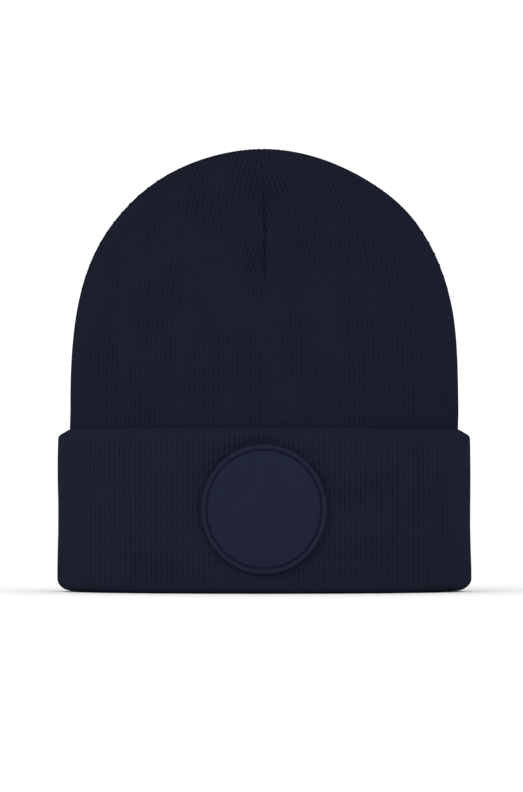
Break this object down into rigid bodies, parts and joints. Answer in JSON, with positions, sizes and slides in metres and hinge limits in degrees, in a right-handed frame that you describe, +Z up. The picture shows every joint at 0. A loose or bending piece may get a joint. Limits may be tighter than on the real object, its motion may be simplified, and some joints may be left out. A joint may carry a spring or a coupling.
{
  "type": "knit beanie",
  "caption": "Rib-knit beanie with a double layer, a turned-up cuff, a darted crown and a blank round padded patch on the front of the cuff.",
  "frame": {"origin": "centre of the head opening, in the plane that the brim rests on", "axes": "+Z up through the crown, -Y towards the front where the patch is, X from side to side along the crown seam"},
  "size_m": [0.202, 0.1479, 0.217],
  "materials": {
    "shell_knit": "navy rib knit, matt",
    "lining_knit": "navy rib knit, matt",
    "cuff_knit": "navy rib knit, matt",
    "seam_thread": "navy overlock thread",
    "patch_backing": "dark navy felt",
    "patch_face": "navy coated cloth, smooth and matt",
    "patch_rim": "navy coated cloth, smooth and matt",
    "patch_thread": "dark navy sewing thread"
  },
  "bodies": {
    "root": {"crown_shell": "shell_knit", "crown_lining": "lining_knit", "cuff_inner_ply": "shell_knit", "cuff_face": "cuff_knit", "shell_crown_seam": "seam_thread", "shell_front_dart_seam": "seam_thread", "shell_back_dart_seam": "seam_thread", "lining_crown_seam": "seam_thread", "lining_front_dart_seam": "seam_thread", "lining_back_dart_seam": "seam_thread", "crown_tack": "seam_thread", "patch_backing": "patch_backing", "patch_face": "patch_face", "patch_rim": "patch_rim", "patch_stitching": "patch_thread"}
  },
  "joints": []
}
